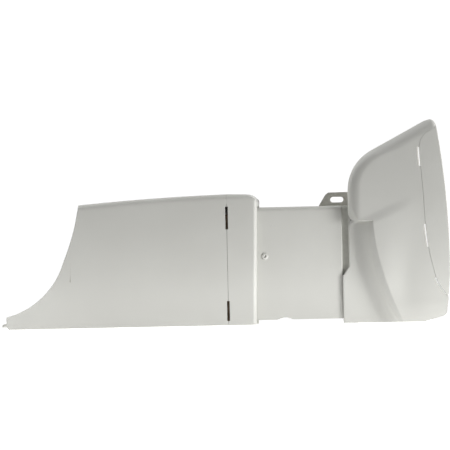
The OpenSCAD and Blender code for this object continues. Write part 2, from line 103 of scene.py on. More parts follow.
def new_material(name, color, roughness, metallic=0.0):
    material = bpy.data.materials.new(name)
    material.use_nodes = True
    tree = material.node_tree
    shader = tree.nodes["Principled BSDF"]
    shader.inputs["Base Color"].default_value = (*color, 1)
    shader.inputs["Roughness"].default_value = roughness
    shader.inputs["Metallic"].default_value = metallic
    place = tree.nodes.new("ShaderNodeTexCoord")
    return material, tree, shader, place.outputs["Object"]


def noise(tree, place, scale, detail, roughness=0.5, stretch=None):
    node = tree.nodes.new("ShaderNodeTexNoise")
    node.inputs["Scale"].default_value = scale
    node.inputs["Detail"].default_value = detail
    node.inputs["Roughness"].default_value = roughness
    if stretch:
        mapping = tree.nodes.new("ShaderNodeMapping")
        mapping.inputs["Scale"].default_value = stretch
        tree.links.new(place, mapping.inputs["Vector"])
        place = mapping.outputs["Vector"]
    tree.links.new(place, node.inputs["Vector"])
    return node.outputs["Fac"]


def two_tones(tree, shader, factor, low, high):
    blend = tree.nodes.new("ShaderNodeValToRGB")
    for element, position, tone in zip(blend.color_ramp.elements, TONE_BAND, (low, high)):
        element.position = position
        element.color = (*tone, 1)
    tree.links.new(factor, blend.inputs["Fac"])
    tree.links.new(blend.outputs["Color"], shader.inputs["Base Color"])


def vary_roughness(tree, shader, factor, low, high):
    limits = tree.nodes.new("ShaderNodeMapRange")
    limits.inputs["To Min"].default_value = low
    limits.inputs["To Max"].default_value = high
    tree.links.new(factor, limits.inputs["Value"])
    tree.links.new(limits.outputs["Result"], shader.inputs["Roughness"])


def bump(tree, shader, height, strength, distance):
    """A bump whose distance is in metres."""
    node = tree.nodes.new("ShaderNodeBump")
    node.inputs["Strength"].default_value = strength
    node.inputs["Distance"].default_value = distance
    tree.links.new(height, node.inputs["Height"])
    tree.links.new(node.outputs["Normal"], shader.inputs["Normal"])


def plastic(name, low, high, roughness, grain=2400, grain_depth=0.00004, patch=9):
    """Moulded plastic: slow drifts of tone, a fine grain and uneven gloss."""
    material, tree, shader, place = new_material(name, high, roughness)
    two_tones(tree, shader, noise(tree, place, patch, detail=5), low, high)
    gloss = noise(tree, place, patch * 4, detail=3)
    vary_roughness(tree, shader, gloss, roughness - 0.06, roughness + 0.08)
    fine = noise(tree, place, grain, detail=2, roughness=0.6)
    bump(tree, shader, fine, strength=0.35, distance=grain_depth)
    return material


def metal(name, low, high, roughness, stretch=(1, 1, 1)):
    """Bare metal: drifts of tone and fine scratches, drawn out by stretch."""
    material, tree, shader, place = new_material(name, high, roughness, metallic=1.0)
    two_tones(tree, shader, noise(tree, place, 60, detail=4), low, high)
    scratches = noise(tree, place, 900, detail=3, roughness=0.6, stretch=stretch)
    vary_roughness(tree, shader, scratches, roughness - 0.08, roughness + 0.12)
    bump(tree, shader, scratches, strength=0.25, distance=0.00003)
    return material


MATERIALS = {
    "shell_plastic": plastic("shell_plastic", (0.622, 0.62, 0.583), (0.648, 0.647, 0.61), 0.46),
    "inner_plastic": plastic("inner_plastic", (0.22, 0.22, 0.2), (0.27, 0.27, 0.25), 0.5),
    "dark_plastic": plastic("dark_plastic", (0.03, 0.028, 0.022), (0.05, 0.046, 0.036), 0.55),
    "glide_plastic": plastic("glide_plastic", (0.76, 0.73, 0.64), (0.8, 0.77, 0.69), 0.3),
    "felt": plastic("felt", (0.07, 0.047, 0.03), (0.13, 0.09, 0.06), 0.95,
                    grain=900, grain_depth=0.0005, patch=160),
    "foam_seal": plastic("foam_seal", (0.55, 0.55, 0.5), (0.63, 0.63, 0.58), 0.9,
                         grain=1500, grain_depth=0.0003, patch=120),
    "steel": metal("steel", (0.5, 0.5, 0.48), (0.6, 0.6, 0.58), 0.35, stretch=(1, 8, 1)),
    # the lug's pale tone is partly its own colour and partly painted light: it is set lighter than the
    # shell plastic to make up for the shade that the hood and duct top cast on it
    "cast_zinc": plastic("cast_zinc", (0.72, 0.71, 0.66), (0.82, 0.81, 0.76), 0.5,
                         grain=1300, grain_depth=0.00016, patch=220),
    "screen_mesh": metal("screen_mesh", (0.3, 0.3, 0.29), (0.42, 0.42, 0.4), 0.4),
}
# painted shade: this dark tone stands in for the shadow inside the small nick on the cover
NICK_PAINTED_SHADE = plastic("nick_shadow", (0.16, 0.14, 0.1), (0.3, 0.28, 0.22), 0.8)


# ---- building pieces ---------------------------------------------------------

SHEET_ANGLE = 40        # degrees at which a moulded sheet's edge is shaded sharp
TURNED_ANGLE = 35       # the same for turned pieces
SLAB_SEGMENTS = 3


def add_piece(name, mesh, slot, body, nodes, angle):
    """Puts a mesh into the scene with its slot, its body and the nodes that it replaces."""
    mesh.materials.append(MATERIALS[slot])
    piece = bpy.data.objects.new(name, mesh)
    bpy.context.scene.collection.objects.link(piece)
    shade(piece, angle)
    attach(piece, body)
    if nodes:
        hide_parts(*nodes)
    return piece


def make_piece(name, verts, faces, slot, body, nodes=(), angle=SHEET_ANGLE):
    """A mesh piece from points in millimetres."""
    mesh = bpy.data.meshes.new(name)
    mesh.from_pydata([Vector(v) * MM for v in verts], [], faces)
    bm = bmesh.new()
    bm.from_mesh(mesh)
    bmesh.ops.remove_doubles(bm, verts=bm.verts, dist=TINY)
    bmesh.ops.dissolve_degenerate(bm, edges=bm.edges, dist=TINY)
    loose = [v for v in bm.verts if not v.link_faces]
    bmesh.ops.delete(bm, geom=loose, context="VERTS")
    bm.to_mesh(mesh)
    bm.free()
    return add_piece(name, mesh, slot, body, nodes, angle)


def shade(piece, angle):
    mesh = piece.data
    mesh.polygons.foreach_set("use_smooth", [True] * len(mesh.polygons))
    mesh.set_sharp_from_angle(angle=math.radians(angle))


def thicken(piece, wall, bevel, limit=50):
    """Gives a sheet its wall, inwards, and rounds the edges that this makes."""
    solid = piece.modifiers.new("wall", "SOLIDIFY")
    solid.thickness = wall * MM
    solid.offset = -1
    round_edges(piece, bevel, limit)


def round_edges(piece, width, limit, segments=2):
    edge = piece.modifiers.new("edges", "BEVEL")
    edge.width = width * MM
    edge.segments = segments
    edge.limit_method = "ANGLE"
    edge.angle_limit = math.radians(limit)
    edge.harden_normals = True
    edge.use_clamp_overlap = True


def flat(rows):
    """The points of all rows in one list."""
    return [p for row in rows for p in row]


def sheet_faces(rows, cols, keep=lambda i, j: True):
    return [(i * cols + j, (i + 1) * cols + j, (i + 1) * cols + j + 1, i * cols + j + 1)
            for i in range(rows - 1) for j in range(cols - 1) if keep(i, j)]


def ring_faces(rings, steps):
    """The faces between each closed ring of points and the next."""
    return [(i * steps + k, i * steps + (k + 1) % steps,
             (i + 1) * steps + (k + 1) % steps, (i + 1) * steps + k)
            for i in range(rings - 1) for k in range(steps)]


def end_faces(rings, steps):
    """The two faces that close a row of rings."""
    return [tuple(range(steps)), tuple((rings - 1) * steps + k for k in range(steps))]


def ring_piece(name, rings, slot, body):
    """A closed piece from rings of points, each as long as the next."""
    steps = len(rings[0])
    faces = ring_faces(len(rings), steps) + end_faces(len(rings), steps)
    return make_piece(name, flat(rings), faces, slot, body)


def turned(name, profile, place, axis, slot, body, nodes=(), steps=40):
    """A turned piece: radius and height pairs, spun about an axis that starts at place."""
    turn = Vector((0, 0, 1)).rotation_difference(Vector(axis))
    verts = []
    for r, h in profile:
        for k in range(steps):
            a = 2 * math.pi * k / steps
            verts.append(Vector(place) + turn @ Vector((r * math.cos(a), r * math.sin(a), h)))
    faces = ring_faces(len(profile), steps)
    return make_piece(name, verts, faces, slot, body, nodes, TURNED_ANGLE)


def joined(name, parts, nodes=()):
    """Several pieces of one body and finish as one object."""
    first = parts[0]
    with bpy.context.temp_override(active_object=first, selected_editable_objects=parts):
        bpy.ops.object.join()
    first.name = name
    if nodes:
        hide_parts(*nodes)
    return first


def slab(name, outline, thickness, slot, body, nodes=(), holes=(), bevel=0, axis="y", at=0.0):
    """A plate cut to an outline, with holes and, where bevel is given, rounded edges.

    The outline lies in X and Z for axis y, in Y and Z for axis x, and in X and Y for axis z.
    """
    bm = bmesh.new()
    loops = []
    for points in (outline, *holes):
        loop = [bm.verts.new((u, v, 0)) for u, v in points]
        loops += [bm.edges.new((loop[k], loop[(k + 1) % len(loop)])) for k in range(len(loop))]
    bmesh.ops.triangle_fill(bm, edges=loops, use_beauty=True, use_dissolve=False)
    bmesh.ops.dissolve_limit(bm, angle_limit=0.001, verts=bm.verts, edges=bm.edges)
    grown = bmesh.ops.extrude_face_region(bm, geom=bm.faces[:])
    lifted = [v for v in grown["geom"] if isinstance(v, bmesh.types.BMVert)]
    bmesh.ops.translate(bm, verts=lifted, vec=(0, 0, thickness))
    bmesh.ops.translate(bm, verts=bm.verts, vec=(0, 0, -thickness / 2))
    bmesh.ops.recalc_face_normals(bm, faces=bm.faces)
    placed = {
        "y": lambda c: (c.x, at + c.z, c.y),
        "x": lambda c: (at + c.z, c.x, c.y),
        "z": lambda c: (c.x, c.y, at + c.z),
    }[axis]
    for v in bm.verts:
        v.co = Vector(placed(v.co)) * MM
    bmesh.ops.recalc_face_normals(bm, faces=bm.faces)
    mesh = bpy.data.meshes.new(name)
    bm.to_mesh(mesh)
    bm.free()
    piece = add_piece(name, mesh, slot, body, nodes, SHEET_ANGLE)
    if bevel:
        round_edges(piece, bevel, 40, SLAB_SEGMENTS)
    return piece


def rounded(corners, radii, steps=6):
    """An outline with its corners rounded, each by its own radius or all by one."""
    out = []
    n = len(corners)
    for k in range(n):
        p, a, b = (Vector(corners[i % n]) for i in (k, k - 1, k + 1))
        r = radii[k] if isinstance(radii, (list, tuple)) else radii
        if r <= 0:
            out.append(tuple(p))
            continue
        u, v = (a - p).normalized(), (b - p).normalized()
        half = u.angle(v) / 2
        reach = r / math.tan(half)
        centre = p + (u + v).normalized() * r / math.sin(half)
        start, end = p + u * reach - centre, p + v * reach - centre
        turn = start.angle_signed(end)
        for t in spread(0, 1, steps):
            c, q = math.cos(-turn * t), math.sin(-turn * t)
            out.append((centre.x + start.x * c - start.y * q, centre.y + start.x * q + start.y * c))
    return out


def arc(x, z, r, start, end, steps):
    """Points on an arc about x, z, with its angles in quarter turns."""
    return [(x + r * math.cos(a), z + r * math.sin(a))
            for a in spread(start * math.pi / 2, end * math.pi / 2, steps)]


def stadium(x, z, length, width):
    half = (length - width) / 2
    return arc(x + half, z, width / 2, -1, 1, 10) + arc(x - half, z, width / 2, 1, 3, 10)


def rectangle(x0, x1, z0, z1):
    return [(x0, z0), (x1, z0), (x1, z1), (x0, z1)]


# ---- trunk -------------------------------------------------------------------

cover_low, cover_high = box_mm("trunk_cover")
collar_low, collar_high = box_mm("trunk_collar")
duct_low, duct_high = box_mm("slide_duct")

WALL = 3
SHELL_BEVEL = 0.45
TRUNK_HALF = cover_high.y
SEAM_X = collar_low.x
COLLAR_END = collar_high.x
TRUNK_BACK = cover_low.x
CROWN_TOP = 158.1       # the trunk's top is a very flat arch, highest at CROWN_X
CROWN_X = 59
CROWN_R = 2700
EDGE_R = 7
SCRIBE_CORNER = 3
UPPER_SWEEP = (-438.4, 185.9, 266)      # each sweep's centre in X and Z, and its radius
LOWER_SWEEP = (-286, 108.4, 96)
SWEEPS_MEET = 80
SEAM_GAP = 0.22
SEAM_GAP_CLOSED = 0.07
SNAP_SLOTS = [(5.4, 29.3), (115.3, 142.6)]
SNAP_DEPTH = 1.4
COLLAR_LEAN = 3.5       # how far the collar's end leans back at its foot
COLLAR_CORNERS = (5, 13.5)      # radius of the collar's end edge, on the sides and on top
COLLAR_SAG = 0.9
COLLAR_GAP = 0.8        # from the duct to the collar's opening


def crown(x):
    """Height of the trunk's top at x."""
    return CROWN_TOP - CROWN_R + math.sqrt(CROWN_R ** 2 - (x - CROWN_X) ** 2)


def scribe_x(z):
    """The scribed end, at height z: two sweeps, a short upright edge and a broken corner."""
    if z < SCRIBE_CORNER:
        return TRUNK_BACK + SCRIBE_CORNER - z
    centre_x, centre_z, r = UPPER_SWEEP if z > SWEEPS_MEET else LOWER_SWEEP
    drop = r ** 2 - (z - centre_z) ** 2
    return max(TRUNK_BACK, centre_x + math.sqrt(drop)) if drop > 0 else TRUNK_BACK


def section(heights, half, edge_r, top_steps=10, arc_steps=7):
    """A U section as functions of the top's height: up one side, over and down the other."""
    side = [lambda top, z=z: (half, z * (top - edge_r)) for z in heights]
    bend = [lambda top, a=a: (half - edge_r + edge_r * math.cos(a), top - edge_r + edge_r * math.sin(a))
            for a in spread(0, math.pi / 2, arc_steps)[1:]]
    over = [lambda top, y=y: (y, top) for y in spread(half - edge_r, 0, top_steps)[1:]]
    one = side + bend + over
    other = [lambda top, f=f: (-f(top)[0], f(top)[1]) for f in reversed(one[:-1])]
    return one + other


def trunk_heights():
    """Shares of the side's height: even ones, and those where a snap slot starts or ends."""
    straight = crown(SEAM_X) - EDGE_R
    edges = [z / straight for span in SNAP_SLOTS for z in span]
    even = merged(spread(0, 1, 44) + edges, 0.004)
    clear = [h for h in even if all(abs(h - edge) > 0.008 for edge in edges)]
    return sorted(set(clear + edges))


TRUNK_SECTION = section(trunk_heights(), TRUNK_HALF, EDGE_R)


def in_slot(f, g):
    """True where a section's strip from f to g lies in a snap slot."""
    (_, z0), (_, z1) = f(crown(SEAM_X)), g(crown(SEAM_X))
    middle = (z0 + z1) / 2
    return any(low < middle < high for low, high in SNAP_SLOTS)


def seam_gap(z):
    """Half the seam's width: it closes up above the upper snap slot."""
    return lerp(SEAM_GAP, SEAM_GAP_CLOSED, smooth((z - SNAP_SLOTS[1][1]) / 3))


def trunk_shell(name, rows, slot_column, node):
    """A trunk shell from its rows of points, open in one column where the snap slots are."""
    def keep(i, j):
        return not (j == slot_column and in_slot(TRUNK_SECTION[i], TRUNK_SECTION[i + 1]))

    faces = sheet_faces(len(rows), len(rows[0]), keep)
    piece = make_piece(name, flat(rows), faces, "shell_plastic", "trunk", [node])
    thicken(piece, WALL, SHELL_BEVEL)


def build_cover():
    stations = spread(0, 1, 40)
    rows = []
    for f in TRUNK_SECTION:
        start = TRUNK_BACK
        for _ in range(5):      # the crown's height depends on x, so this closes in on the end
            start = scribe_x(f(crown(start))[1])
        end = SEAM_X - seam_gap(f(crown(SEAM_X))[1])
        xs = [lerp(start, end - SNAP_DEPTH, t) for t in stations] + [end]
        rows.append([(x, *f(crown(x))) for x in xs])
    trunk_shell("trunk_cover_shell", rows, len(stations) - 1, "trunk_cover")


def build_collar():
    opening_half = duct_high.y + COLLAR_GAP
    opening_top = duct_high.z + COLLAR_GAP
    rows = []
    for f in TRUNK_SECTION:
        y, z = f(crown(SEAM_X))
        start = SEAM_X + seam_gap(z)
        over = smooth((z - (crown(SEAM_X) - EDGE_R)) / EDGE_R)
        corner = lerp(*COLLAR_CORNERS, over)
        end = COLLAR_END - COLLAR_LEAN * clamp01(1 - z / 144)
        inner = Vector((math.copysign(min(abs(y), opening_half), y), min(z, opening_top)))
        inward = (inner - Vector((y, z))).normalized()
        path = [(start, 0), (start + SNAP_DEPTH, 0)]
        path += [(x, 0) for x in spread(start + SNAP_DEPTH, end - corner, 8)[1:]]
        path += [(end - corner + corner * math.sin(a), corner * (1 - math.cos(a)))
                 for a in spread(0, math.pi / 2, 10)[1:]]
        row = []
        for x, depth in path:
            along_y, along_z = f(crown(min(x, SEAM_X + 20)))
            sag = COLLAR_SAG * over * clamp01((x - start) / 25)
            p = Vector((along_y, along_z - sag)) + inward * depth
            row.append((x, p.x, p.y))
        row += [(end, *p.lerp(inner, t)) for t in (0.5, 1)]
        rows.append(row)
    trunk_shell("trunk_collar_shell", rows, 0, "trunk_collar")


# ---- duct --------------------------------------------------------------------

DUCT_WALL = 2.5
DUCT_R = 6
SPIGOT_HALF = 52
SPIGOT_TOP = 134
SPIGOT_FOOT = 8
SPIGOT_R = 5
SHOULDER_X = 141
DUCT_SHOULDER_R = 1.4
FOOT_BLEND = 14         # below this height a section is fitted to its own foot
NOTCH_X = 71
NOTCH_HALF = 9
NOTCH_DEPTH = 2.5
GATE_MARKS = [(56.6, 118.6), (128.3, 119.3), (127.7, 68.4)]
GATE_MARK_R = 1.8


def duct_foot_z(x):
    """The duct's lower edge, with its shallow pry notch."""
    away = abs(x - NOTCH_X) / NOTCH_HALF
    return duct_low.z + (NOTCH_DEPTH * math.cos(away * math.pi / 2) if away < 1 else 0)


def fitted(z, foot):
    """The height z of a section that starts at 0, moved so that the section starts at foot."""
    return lerp(FOOT_BLEND, foot, 1 - z / FOOT_BLEND) if z < FOOT_BLEND else z


def build_duct():
    flat_end = SHOULDER_X - DUCT_SHOULDER_R
    notch = spread(NOTCH_X - NOTCH_HALF, NOTCH_X + NOTCH_HALF, 20)
    xs = merged(spread(duct_low.x, flat_end, 60) + notch, 0.4)
    heights = merged(spread(0, 0.1, 6) + spread(0.1, 1, 26), 0.001)
    rows = []
    for f, g in zip(section(heights, duct_high.y, DUCT_R), section(heights, SPIGOT_HALF, SPIGOT_R)):
        y, z = f(duct_high.z)
        row = [(x, y, fitted(z, duct_foot_z(x))) for x in xs]
        z = fitted(z, duct_low.z)
        spigot_y, spigot_z = g(SPIGOT_TOP)
        spigot_z = fitted(spigot_z, SPIGOT_FOOT)
        toward = Vector((spigot_y - y, spigot_z - z))
        step = DUCT_SHOULDER_R / max(toward.length, TINY)
        for a in spread(0, math.pi / 2, 7)[1:]:
            t = step * (1 - math.cos(a))
            row.append((flat_end + DUCT_SHOULDER_R * math.sin(a), y + toward.x * t, z + toward.y * t))
        row += [(SHOULDER_X, y + toward.x * t, z + toward.y * t) for t in spread(step, 1, 3)[1:]]
        row += [(x, spigot_y, spigot_z) for x in spread(SHOULDER_X, duct_high.x, 6)[1:]]
        rows.append(row)
    faces = sheet_faces(len(rows), len(rows[0]))
    piece = make_piece("slide_duct_shell", flat(rows), faces, "shell_plastic", "duct", ["slide_duct"])
    thicken(piece, DUCT_WALL, 0.4)


def build_gate_marks():
    """Faint round gate marks, each a low ring on the duct's side."""
    r = GATE_MARK_R
    profile = [(0, 0.05), (r * 0.45, 0.05), (r * 0.6, 0.16), (r * 0.85, 0.14), (r, -0.05)]
    marks = [turned("mark", profile, (x, side * duct_high.y, z), (0, side, 0), "shell_plastic", "duct")
             for side in (-1, 1) for x, z in GATE_MARKS]
    joined("duct_gate_marks", marks)


# ---- hood --------------------------------------------------------------------

HOOD_BACK = 148.7
SKIRT_BACK = 140.8
SKIRT_BLEND = (57.1, 67.2)      # heights between which the back steps from skirt to hood
SKIRT_BROKEN = 0.6
SKIRT_Y = 64
SKIRT_EDGE_R = 1.5
SHOULDER_R = 54.5
SHOULDER_Z = 158.5
SLOPE = math.radians(28)
SLOPE_X = HOOD_BACK + SHOULDER_R * (1 - math.sin(SLOPE))
SLOPE_Z = SHOULDER_Z + SHOULDER_R * math.cos(SLOPE)
HOOD_TOP = 242.8
HOOD_EDGE_R = 16
APEX_R = 7
APEX_RISE = 4           # over this height the slope leans forward into the apex
APEX_LEAN = 3.5
MOUTH_REACH = 269.4
MOUTH_MID = 75          # the height at which the mouth reaches furthest
MOUTH_BEND = (0.00117, 0.00051)     # how fast it falls back below and above that
MOUTH_Y = 90
LIP_X = 238
LIP_RISE = 0.26
FRONT_LIP_Z = 233.9
FRONT_EDGE_R = 6
BASE_Y = 66             # the flare and the soft forms below are added to this half width
BACK_FLARE = 0.55
FOOT_TUCK = 0.22        # share of the flare that is missing at the base
FOOT_TUCK_Z = 26
TOP_INSET = 6
VALLEY = 2.2
BULB = 2.4
RECESS_TOP = 121.5
LEDGE = 1.6             # height over which the recess ends at the front of its top
LEDGE_SOFT = 15         # how much longer it takes at the back
SCOOP_RUN = 21
SCOOP_SHARE = 0.7
STEP_TOP = 120
STEP_RISE = 119.4
STEP_FOOT = (173.6, 33.4, 2.1)      # X at the top, the run out to the base and its power
STEP_HEAD = (179, 33.8, 1.65)
NECK_HOLE = (60.9, 141.9)
SEAM_CURVE = [(30.4, 266), (47.6, 255), (67, 249.4), (87.5, 245.1), (118.8, 241.6), (157, 239.4),
              (187, 237.2), (206, 235.9), (213.5, 236.4), (220, 238.8), (225.5, 243.4),
              (229.6, 249.5), (233.9, 256.5)]
BEZEL_SLOTS = [(31.2, 52.4), (89, 116.9), (186.4, 209.9)]
BEZEL_SLOT_W = 2.6
BEZEL_GAP = 0.35


def back_x(z):
    """Where the hood's back or top starts, at height z."""
    low, high = SKIRT_BLEND
    if z < low:
        return SKIRT_BACK
    if z < high:
        return lerp(SKIRT_BACK + SKIRT_BROKEN, HOOD_BACK - SKIRT_BROKEN, (z - low) / (high - low))
    if z < SHOULDER_Z:
        return HOOD_BACK
    if z < SLOPE_Z:
        return HOOD_BACK + SHOULDER_R - math.sqrt(SHOULDER_R ** 2 - (z - SHOULDER_Z) ** 2)
    line = SLOPE_X + (z - SLOPE_Z) / math.tan(SLOPE)
    return line + APEX_LEAN * clamp01((z - (HOOD_TOP - APEX_RISE)) / APEX_RISE) ** 3


def back_turn(z):
    """Turns a distance along X into a depth from the back: 1 where the back is upright."""
    if z < SHOULDER_Z:
        return 1.0
    return max(math.sin(SLOPE), (HOOD_BACK + SHOULDER_R - back_x(z)) / SHOULDER_R)


def mouth_x(z):
    """Where the mouth's edge lies, at height z."""
    far = MOUTH_REACH - MOUTH_BEND[z > MOUTH_MID] * (z - MOUTH_MID) ** 2
    corner = HOOD_TOP - APEX_R
    if z > corner:
        return far - APEX_R + math.sqrt(max(0, APEX_R ** 2 - (z - corner) ** 2))
    return min(far, LIP_X + z / LIP_RISE)


def seam_x(z):
    """The bezel's seam at height z, as a smooth curve through its points."""
    if z <= SEAM_CURVE[0][0]:
        return SEAM_CURVE[0][1]
    for k in range(len(SEAM_CURVE) - 1):
        (z0, x0), (z1, x1) = SEAM_CURVE[k], SEAM_CURVE[k + 1]
        if z <= z1:
            before = SEAM_CURVE[max(0, k - 1)]
            after = SEAM_CURVE[min(len(SEAM_CURVE) - 1, k + 2)]
            m0 = (x1 - before[1]) / (z1 - before[0])
            m1 = (after[1] - x0) / (after[0] - z0)
            h = z1 - z0
            t = (z - z0) / h
            return ((2 * t ** 3 - 3 * t ** 2 + 1) * x0 + (t ** 3 - 2 * t ** 2 + t) * h * m0
                    + (3 * t ** 2 - 2 * t ** 3) * x1 + (t ** 3 - t ** 2) * h * m1)
    return SEAM_CURVE[-1][1]


def step_edge(z, sweep, share):
    """X of an edge of the step at height z; above the recess, a share of the hood's depth."""
    if z < RECESS_TOP:
        top_x, run, power = sweep
        return top_x + run * clamp01((STEP_TOP - z) / STEP_RISE) ** power
    return back_x(z) + share * (mouth_x(z) - back_x(z))


def step_foot(z):
    return step_edge(z, STEP_FOOT, 0.215)


def step_head(z):
    return step_edge(z, STEP_HEAD, 0.257)


def full_y(x, z):
    """Half width of the full hood, before the recess is taken out."""
    flare = lerp(BACK_FLARE, 1, smooth((x - 130) / 150))
    tuck = 1 - FOOT_TUCK * clamp01((FOOT_TUCK_Z - z) / FOOT_TUCK_Z) ** 2
    inset = TOP_INSET * clamp01((z - 120) / 123) ** 2
    valley = VALLEY * math.exp(-((x - 214) / 17) ** 2 - ((z - 45) / 42) ** 2)
    ridge_z = 126 + 0.42 * (x - 178)
    bulb = BULB * smooth((ridge_z + 7 - z) / 16) * (1 - smooth((x - 190) / 50)) * smooth(z / 60)
    return BASE_Y + (MOUTH_Y - BASE_Y) * flare * tuck - inset - valley + bulb


def bulge_share(x, z):
    """Share of the full bulge: the recess's floor rises like a scoop, then comes the step."""
    blend = LEDGE + LEDGE_SOFT * (1 - smooth((x - 151) / 11))
    above = ramp((z - (RECESS_TOP - LEDGE / 2)) / blend, 0.3)
    in_recess = min(z, RECESS_TOP - 0.01)
    foot, head = step_foot(in_recess), step_head(in_recess)
    scoop = SCOOP_SHARE * clamp01(1 - (foot - x) / SCOOP_RUN) ** 2.8
    beyond = scoop + (1 - SCOOP_SHARE) * ramp((x - foot) / (head - foot), 0.1)
    return max(above, beyond)


def edge_r(z):
    """Radius of the edge between the hood's side and its back or top."""
    if z < SKIRT_BLEND[0]:
        return SKIRT_EDGE_R
    return lerp(SKIRT_EDGE_R, HOOD_EDGE_R, smooth((z - 57) / 14))


def edge_drop(r, depth):
    """How far a rounded edge stands back from the face, at a depth from the edge."""
    return r - math.sqrt(max(0.0, r * r - (r - depth) ** 2))


def side_y(x, z):
    """The hood's half width at x and z, with its edges rounded."""
    y = lerp(SKIRT_Y, full_y(x, z), bulge_share(x, z))
    above = smooth((z - RECESS_TOP + 6) / 12)
    r = min(edge_r(z), lerp(y - SKIRT_Y + 2, 20, above))
    y -= edge_drop(r, min(r, (x - back_x(z)) * back_turn(z)))
    front_r = FRONT_EDGE_R * smooth((z - 231) / 6)
    if front_r > 0.01:
        y -= edge_drop(front_r, min(front_r, max(0, mouth_x(z) - x)))
    return y


def hood_levels():
    """Heights of the hood's rows, close together where its form changes quickly."""
    apex = HOOD_TOP - APEX_R
    ledge_low, ledge_high = RECESS_TOP - 2.4, RECESS_TOP + 2.4
    zones = [(0, 56, 28), (56, 70, 14), (70, ledge_low, 22), (ledge_low, ledge_high, 14),
             (ledge_high, 140, 8), (140, 206, 36), (206, apex, 20)]
    levels = [z for low, high, steps in zones for z in spread(low, high, steps)]
    levels += [apex + APEX_R * math.sin(a) for a in spread(0, math.pi / 2, 12)]
    fixed = [z for span in BEZEL_SLOTS for z in span]
    fixed += [SEAM_CURVE[0][0], FRONT_LIP_Z, NECK_HOLE[1], SKIRT_BLEND[0] - 0.05, SKIRT_BLEND[1] + 0.05]
    levels = [z for z in merged(levels, 0.12) if all(abs(z - f) > 0.5 for f in fixed)]
    return sorted(levels + fixed)


LEVELS = hood_levels()
BACK_SHARE = [t ** 1.6 for t in spread(0, 1, 22)]
STEP_SHARE = spread(-0.25, 1.25, 14)
ACROSS = spread(1, -1, 16)


def hood_front(z):
    """Front edge of the hood's own skin: the bezel's seam, or the mouth."""
    if SEAM_CURVE[0][0] <= z <= FRONT_LIP_Z:
        return min(seam_x(z), mouth_x(z))
    return mouth_x(z)


def side_columns(z):
    """X of the points along the hood's side at height z, always the same number of them."""
    foot, head = step_foot(z), step_head(z)
    start, front = back_x(z), hood_front(z)
    band = head - foot
    lead = foot + STEP_SHARE[0] * band
    tail = foot + STEP_SHARE[-1] * band
    slot_x = front - BEZEL_SLOT_W * (1 if front > tail + 8 else 0.1)
    xs = [lerp(start, lead, t) for t in BACK_SHARE]
    xs += [foot + t * band for t in STEP_SHARE[1:]]
    xs += [lerp(tail, slot_x, t) for t in spread(0, 1, 26)[1:]]
    return xs + [front]


def hood_row(z):
    """The closed row of points round the hood at height z: near side, back, far side, front."""
    side = [(x, side_y(x, z), z) for x in side_columns(z)]
    back_x_here, back_y, _ = side[0]
    front_x, front_y, _ = side[-1]
    hole = min(NECK_HOLE[0], back_y - 0.4)
    back = [(back_x_here, hole * t, z) for t in ACROSS]
    front = [(front_x, -front_y + 2 * front_y * t, z) for t in spread(0, 1, 16)[1:-1]]
    return list(reversed(side)) + back + [(x, -y, z) for x, y, z in side] + front


def build_hood():
    rows = [hood_row(z) for z in LEVELS]
    n_side, n_back, cols = len(side_columns(LEVELS[0])), len(ACROSS), len(rows[0])
    faces = []
    for i in range(len(rows) - 1):
        middle = (LEVELS[i] + LEVELS[i + 1]) / 2
        in_bezel_slot = any(low < middle < high for low, high in BEZEL_SLOTS)
        for j in range(cols):
            across_hole = n_side <= j < n_side + n_back - 1
            across_front = j >= 2 * n_side + n_back - 1
            slot_column = j in (0, 2 * n_side + n_back - 2)
            if across_hole and middle < NECK_HOLE[1]:
                continue
            if across_front and middle < FRONT_LIP_Z:
                continue
            if slot_column and in_bezel_slot:
                continue
            k = (j + 1) % cols
            faces.append((i * cols + j, i * cols + k, (i + 1) * cols + k, (i + 1) * cols + j))
    faces.append(tuple((len(rows) - 1) * cols + j for j in range(cols)))
    piece = make_piece("cowl_hood_shell", flat(rows), faces, "shell_plastic", "duct", ["cowl_head"])
    thicken(piece, WALL, SHELL_BEVEL, 60)


# ---- mouth, neck and lug -----------------------------------------------------

CHEEK_THICK = 4.6
ARCH_DEPTH = 11
ARCH_THICK = 2.4


def build_bezel():
    """Two cheeks that close the mouth's sides, and an arch behind the top of the mouth."""
    levels = [z for z in LEVELS if SEAM_CURVE[0][0] <= z <= FRONT_LIP_Z]
    parts = []
    for side in (-1, 1):
        rows = []
        for z in levels:
            start = min(seam_x(z) + BEZEL_GAP, mouth_x(z) - 0.3)
            end = mouth_x(z)
            skin = [(x, side_y(x, z)) for x in spread(start, end, 10)]
            edge_y = skin[-1][1]
            outer = [(x, side * y, z) for x, y in skin]
            lip = [(end - 0.2, side * (edge_y - 1.2), z), (end - 0.5, side * (edge_y - 3.4), z)]
            inner = [(x - 0.6, side * (y - CHEEK_THICK), z) for x, y in reversed(skin)]
            rows.append(outer + lip + inner)
        parts.append(ring_piece("cheek", rows, "shell_plastic", "duct"))
    leg = []
    for z in spread(196, 236, 24):
        front = min(seam_x(min(z, FRONT_LIP_Z)) + 12, mouth_x(z) - 2.5)
        back, y = front - ARCH_DEPTH, side_y(front, z) - 3.4
        leg.append([(back, y, z), (front, y, z), (front, y - ARCH_THICK, z), (back, y - ARCH_THICK, z)])
    for side in (-1, 1):
        rows = [[(x, side * y, z) for x, y, z in row] for row in leg]
        parts.append(ring_piece("arch_leg", rows, "shell_plastic", "duct"))
    (back, y, _), (front, _, _) = leg[-1][:2]
    beam = rectangle(back, front, 233.4, 236.6)
    parts.append(slab("arch_beam", beam, 2 * y, "shell_plastic", "duct"))
    bezel = joined("mouth_bezel_trim", parts, ["mouth_bezel"])
    bm = bmesh.new()
    bm.from_mesh(bezel.data)
    bmesh.ops.recalc_face_normals(bm, faces=bm.faces)
    bm.to_mesh(bezel.data)
    bm.free()
    shade(bezel, 35)
    round_edges(bezel, 0.35, 40)


